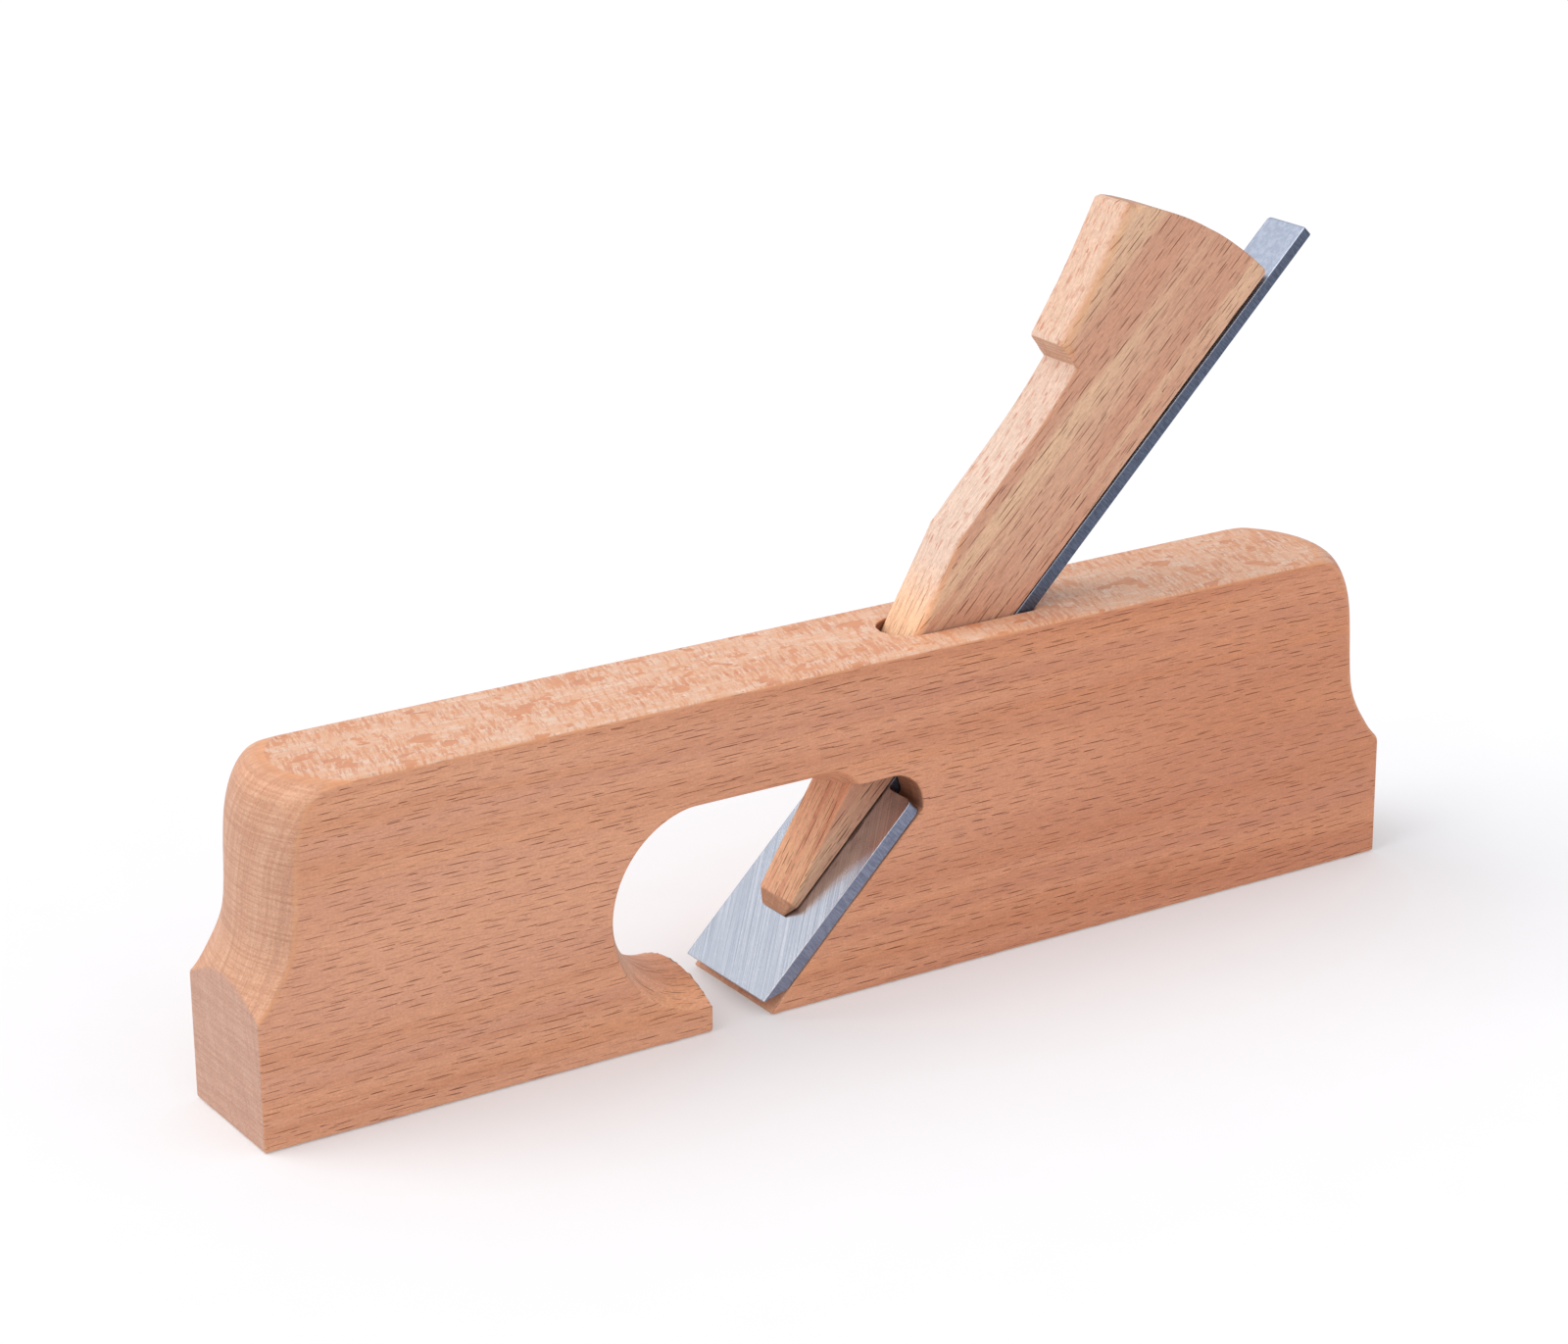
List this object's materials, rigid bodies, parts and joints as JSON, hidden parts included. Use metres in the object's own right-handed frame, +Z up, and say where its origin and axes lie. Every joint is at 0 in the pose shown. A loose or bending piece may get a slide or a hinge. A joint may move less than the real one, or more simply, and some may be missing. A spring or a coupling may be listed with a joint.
{
  "type": "hand plane",
  "caption": "Wooden rebate plane: long narrow beech body with an open throat, a shouldered steel iron on an inclined bed and a notched beech wedge.",
  "frame": {"origin": "centre of the sole, on the plane of the sole", "axes": "+X along the sole from the toe to the heel, +Y across the width, +Z up out of the top"},
  "size_m": [0.27, 0.03, 0.1522],
  "materials": {
    "body_wood": "fine-sanded steamed beech, light oil",
    "wedge_wood": "planed beech, light oil",
    "iron_steel": "ground lengthwise"
  },
  "bodies": {
    "body": {"plane_body": "body_wood"},
    "wedge": {"wedge": "wedge_wood"},
    "iron": {"iron": "iron_steel"}
  },
  "joints": [
    {"name": "wedge_slide", "type": "slide", "parent": "body", "child": "wedge", "axis": [0.712, 0, 0.7022], "range_m": [0, 0.09]},
    {"name": "iron_slide", "type": "slide", "parent": "body", "child": "iron", "axis": [0.712, 0, 0.7022], "range_m": [-0.006, 0]}
  ]
}
